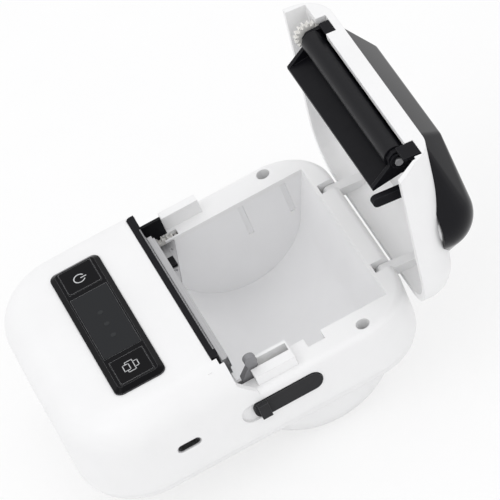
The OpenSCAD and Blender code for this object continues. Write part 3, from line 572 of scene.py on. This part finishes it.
def thicken(shape):
    """Gives a flat printed shape its thickness upwards."""
    edit_all(shape)
    height = bpy.context.scene.printer_sizes.print_height
    bpy.ops.mesh.extrude_region_move(TRANSFORM_OT_translate={"value": (0, 0, height)})
    bpy.ops.mesh.select_all(action="SELECT")
    bpy.ops.mesh.normals_make_consistent(inside=False)
    bpy.ops.object.mode_set(mode="OBJECT")
    return shape


def flat_disc(middle, radius, vertices):
    """A flat round shape, not yet thickened."""
    deselect()
    bpy.ops.mesh.primitive_circle_add(vertices=vertices, radius=radius * MM, fill_type="NGON",
                                      location=middle)
    return bpy.context.object


def open_ring(middle, radius, line, gap):
    """A thin printed ring that is open at the rear, by a gap in degrees to each side."""
    ring = flat_disc(middle, radius, RING_VERTICES)
    edit_all(ring)
    bpy.ops.mesh.inset(thickness=line * MM)
    bpy.ops.mesh.delete(type="FACE")
    mesh = bmesh.from_edit_mesh(ring.data)
    for face in mesh.faces:
        centre = face.calc_center_median()
        face.select = abs(math.degrees(math.atan2(centre.y, centre.x)) - 90) <= gap
    bmesh.update_edit_mesh(ring.data)
    bpy.ops.mesh.delete(type="FACE")
    return thicken(ring)


def flat_bar(middle, x, y, width, depth):
    """A thin printed bar, its middle x and y from the middle of its sign."""
    deselect()
    bpy.ops.mesh.primitive_plane_add(size=1, location=middle + Vector((x, y, 0)) * MM)
    bar = bpy.context.object
    bar.scale = (width * MM, depth * MM, 1)
    bpy.ops.object.transform_apply(location=False, rotation=False, scale=True)
    return thicken(bar)


class LABELPRINTER_OT_key_prints(bpy.types.Operator):
    """Print the power sign and the feed sign on the two keys"""

    bl_idname = "label_printer.key_prints"
    bl_label = "Key Prints"

    def execute(self, context):
        middle = top_middle("power_button", POWER_MIDDLE)
        power = joined([
            open_ring(middle, POWER_RADIUS, POWER_LINE, POWER_GAP),
            flat_bar(middle, *POWER_BAR)])
        settle(power, "power_print", "print", "power_key")
        middle = top_middle("feed_button", FEED_MIDDLE)
        feed = [flat_bar(middle, 0, y, width, FEED_LINE) for y, width in FEED_LEVELS]
        feed += [flat_bar(middle, side * x, y, width, depth)
                 for side in (-1, 1) for x, y, width, depth in FEED_SIDES]
        settle(joined(feed), "feed_print", "print", "feed_key")
        return {"FINISHED"}


class LABELPRINTER_OT_light_spots(bpy.types.Operator):
    """Set the three faint light spots into the window"""

    bl_idname = "label_printer.light_spots"
    bl_label = "Light Spots"

    def execute(self, context):
        low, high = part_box("status_leds")
        middle = top_middle("status_leds")
        middle.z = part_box("display_window")[1].z + SPOT_LIFT * MM
        pitch = (high.x - low.x) / 2 - PIPE_RADIUS * MM
        spots = [thicken(flat_disc(middle + Vector((step * pitch, 0, 0)), SPOT_RADIUS,
                                   SPOT_VERTICES)) for step in (-1, 0, 1)]
        settle(joined(spots), "light_spots", "spot", "body")
        return {"FINISHED"}


# ---------------------------------------------------------------- finishes of the CAD nodes

class LABELPRINTER_OT_finishes(bpy.types.Operator):
    """Give every CAD node its finish"""

    bl_idname = "label_printer.finishes"
    bl_label = "Finishes"

    def execute(self, context):
        moulded_grain()
        brushed_lines()
        painted_edge_highlight()
        ready = finishes()
        for name, node in NODES.items():
            node.data.materials.clear()
            node.data.materials.append(ready[NODE_FINISH[name]])
        return {"FINISHED"}


# ---------------------------------------------------------------- stage

# Lamps: name, place, size and power; all look at the same point
LAMPS = (("Key lamp", (0.35, -0.9, 1.25), 0.9, 2.4), ("Side lamp", (1.2, 0.7, 0.9), 0.8, 1.0),
         ("Top lamp", (-0.5, 0.2, 1.4), 1.0, 1.4))
LAMP_AIM = (0, 0, 0.04)

FLOOR_SIZE = 8
FLOOR_MOTTLE = 30.0
FLOOR_DARK, FLOOR_PALE = (0.90, 0.90, 0.90), (0.92, 0.92, 0.92)
FLOOR_ROUGHNESS = 0.9
FLOOR_GLOW = 0.72
SKY_COLOUR = (0.99, 0.99, 1.0)
SKY_POWER = 0.94

# Camera fitted to the photo: where it stands, its right and up, and its lens on a 36 mm sensor
CAMERA_AT = (1.0809, -0.1055, 1.0379)
CAMERA_RIGHT = (0.3670, 0.8778, -0.3078)
CAMERA_UP = (-0.5667, 0.4734, 0.6744)
CAMERA_LENS = 299.6
CAMERA_SENSOR = 36
CAMERA_CLIP = (0.05, 50)


def seen_rays(tree):
    """One for rays that show a surface to the eye: camera, glossy and transmission rays."""
    rays = tree.nodes.new("ShaderNodeLightPath").outputs
    shown = maths(tree, "MAXIMUM", rays["Is Camera Ray"], rays["Is Glossy Ray"])
    return maths(tree, "MAXIMUM", shown, rays["Is Transmission Ray"])


def blend_shaders(tree, fac, unseen, seen, output):
    """Mixes two shaders into a material's or a world's surface."""
    blend = tree.nodes.new("ShaderNodeMixShader")
    join(tree, fac, blend.inputs["Fac"])
    join(tree, unseen, blend.inputs[1])
    join(tree, seen, blend.inputs[2])
    join(tree, blend.outputs[0], tree.nodes[output].inputs["Surface"])


def lay_floor():
    """A pale floor that looks white to the camera and keeps the printer's shadow."""
    deselect()
    bpy.ops.mesh.primitive_plane_add(size=FLOOR_SIZE, location=(0, 0, 0))
    plane = bpy.context.object
    plane.name = "floor"
    paper = bpy.data.materials.new("Floor paper")
    paper.use_nodes = True
    tree = paper.node_tree
    shader = tree.nodes["Principled BSDF"]
    coords = tree.nodes.new("ShaderNodeTexCoord").outputs["Object"]
    mottle = spread(tree, noise(tree, coords, FLOOR_MOTTLE), 0.0, 1.0)
    join(tree, mix_colour(tree, mottle, FLOOR_DARK, FLOOR_PALE), shader.inputs["Base Color"])
    shader.inputs["Roughness"].default_value = FLOOR_ROUGHNESS
    glow = tree.nodes.new("ShaderNodeEmission")
    glow.inputs["Strength"].default_value = 1.0
    blend_shaders(tree, maths(tree, "MULTIPLY", seen_rays(tree), FLOOR_GLOW),
                  shader.outputs[0], glow.outputs[0], "Material Output")
    plane.data.materials.append(paper)


def light_sky(scene):
    """A soft pale surround that looks white to the camera."""
    world = bpy.data.worlds.new("Studio")
    scene.world = world
    world.use_nodes = True
    tree = world.node_tree
    shown = tree.nodes["Background"]
    join(tree, (1, 1, 1), shown.inputs["Color"])
    shown.inputs["Strength"].default_value = 1.0
    soft = tree.nodes.new("ShaderNodeBackground")
    join(tree, SKY_COLOUR, soft.inputs["Color"])
    soft.inputs["Strength"].default_value = SKY_POWER
    blend_shaders(tree, seen_rays(tree), soft.outputs[0], shown.outputs[0], "World Output")


def hang_lamp(name, at, size, power):
    """A square area lamp turned towards the printer."""
    lamp = bpy.data.lights.new(name, "AREA")
    lamp.size, lamp.energy = size, power
    holder = bpy.data.objects.new(name, lamp)
    bpy.context.scene.collection.objects.link(holder)
    holder.location = at
    holder.rotation_euler = (Vector(LAMP_AIM) - Vector(at)).to_track_quat("-Z", "Y").to_euler()


def set_camera(scene):
    """The camera that stands as the photo's did."""
    lens = bpy.data.cameras.new("Photo camera")
    lens.lens, lens.sensor_width = CAMERA_LENS, CAMERA_SENSOR
    lens.clip_start, lens.clip_end = CAMERA_CLIP
    camera = bpy.data.objects.new("Photo camera", lens)
    scene.collection.objects.link(camera)
    right, up = Vector(CAMERA_RIGHT), Vector(CAMERA_UP)
    turn = Matrix((right, up, right.cross(up))).transposed().to_4x4()
    camera.matrix_world = Matrix.Translation(CAMERA_AT) @ turn
    scene.camera = camera


class LABELPRINTER_OT_stage(bpy.types.Operator):
    """Set up the floor, the world, the lamps and the camera"""

    bl_idname = "label_printer.stage"
    bl_label = "Stage"

    def execute(self, context):
        scene = context.scene
        scene.view_settings.view_transform = "Standard"
        lay_floor()
        light_sky(scene)
        for lamp in LAMPS:
            hang_lamp(*lamp)
        set_camera(scene)
        return {"FINISHED"}


class LABELPRINTER_PT_panel(bpy.types.Panel):
    """Lists the steps and the sizes"""

    bl_idname = "LABELPRINTER_PT_panel"
    bl_label = "Label Printer"
    bl_space_type = "VIEW_3D"
    bl_region_type = "UI"
    bl_category = "Label Printer"

    def draw(self, context):
        for step in STEPS:
            self.layout.operator(step.bl_idname)
        for group in (context.scene.printer_sizes, context.scene.printer_colours):
            for name in group.__annotations__:
                self.layout.prop(group, name)


STEPS = (LABELPRINTER_OT_finishes, LABELPRINTER_OT_lens, LABELPRINTER_OT_key_prints,
         LABELPRINTER_OT_light_spots, LABELPRINTER_OT_stage)
CLASSES = (PrinterSizes, PrinterColours, *STEPS, LABELPRINTER_PT_panel)


def register():
    """Adds the steps, the panel and the settings to Blender."""
    for kind in CLASSES:
        bpy.utils.register_class(kind)
    bpy.types.Scene.printer_sizes = bpy.props.PointerProperty(type=PrinterSizes)
    bpy.types.Scene.printer_colours = bpy.props.PointerProperty(type=PrinterColours)


def unregister():
    """Takes them away again."""
    del bpy.types.Scene.printer_sizes
    del bpy.types.Scene.printer_colours
    for kind in reversed(CLASSES):
        bpy.utils.unregister_class(kind)


def main():
    """Makes the printer's looks in order."""
    register()
    bpy.ops.label_printer.finishes()
    bpy.ops.label_printer.lens()
    bpy.ops.label_printer.key_prints()
    bpy.ops.label_printer.light_spots()
    bpy.ops.label_printer.stage()


if __name__ == "__main__":
    main()
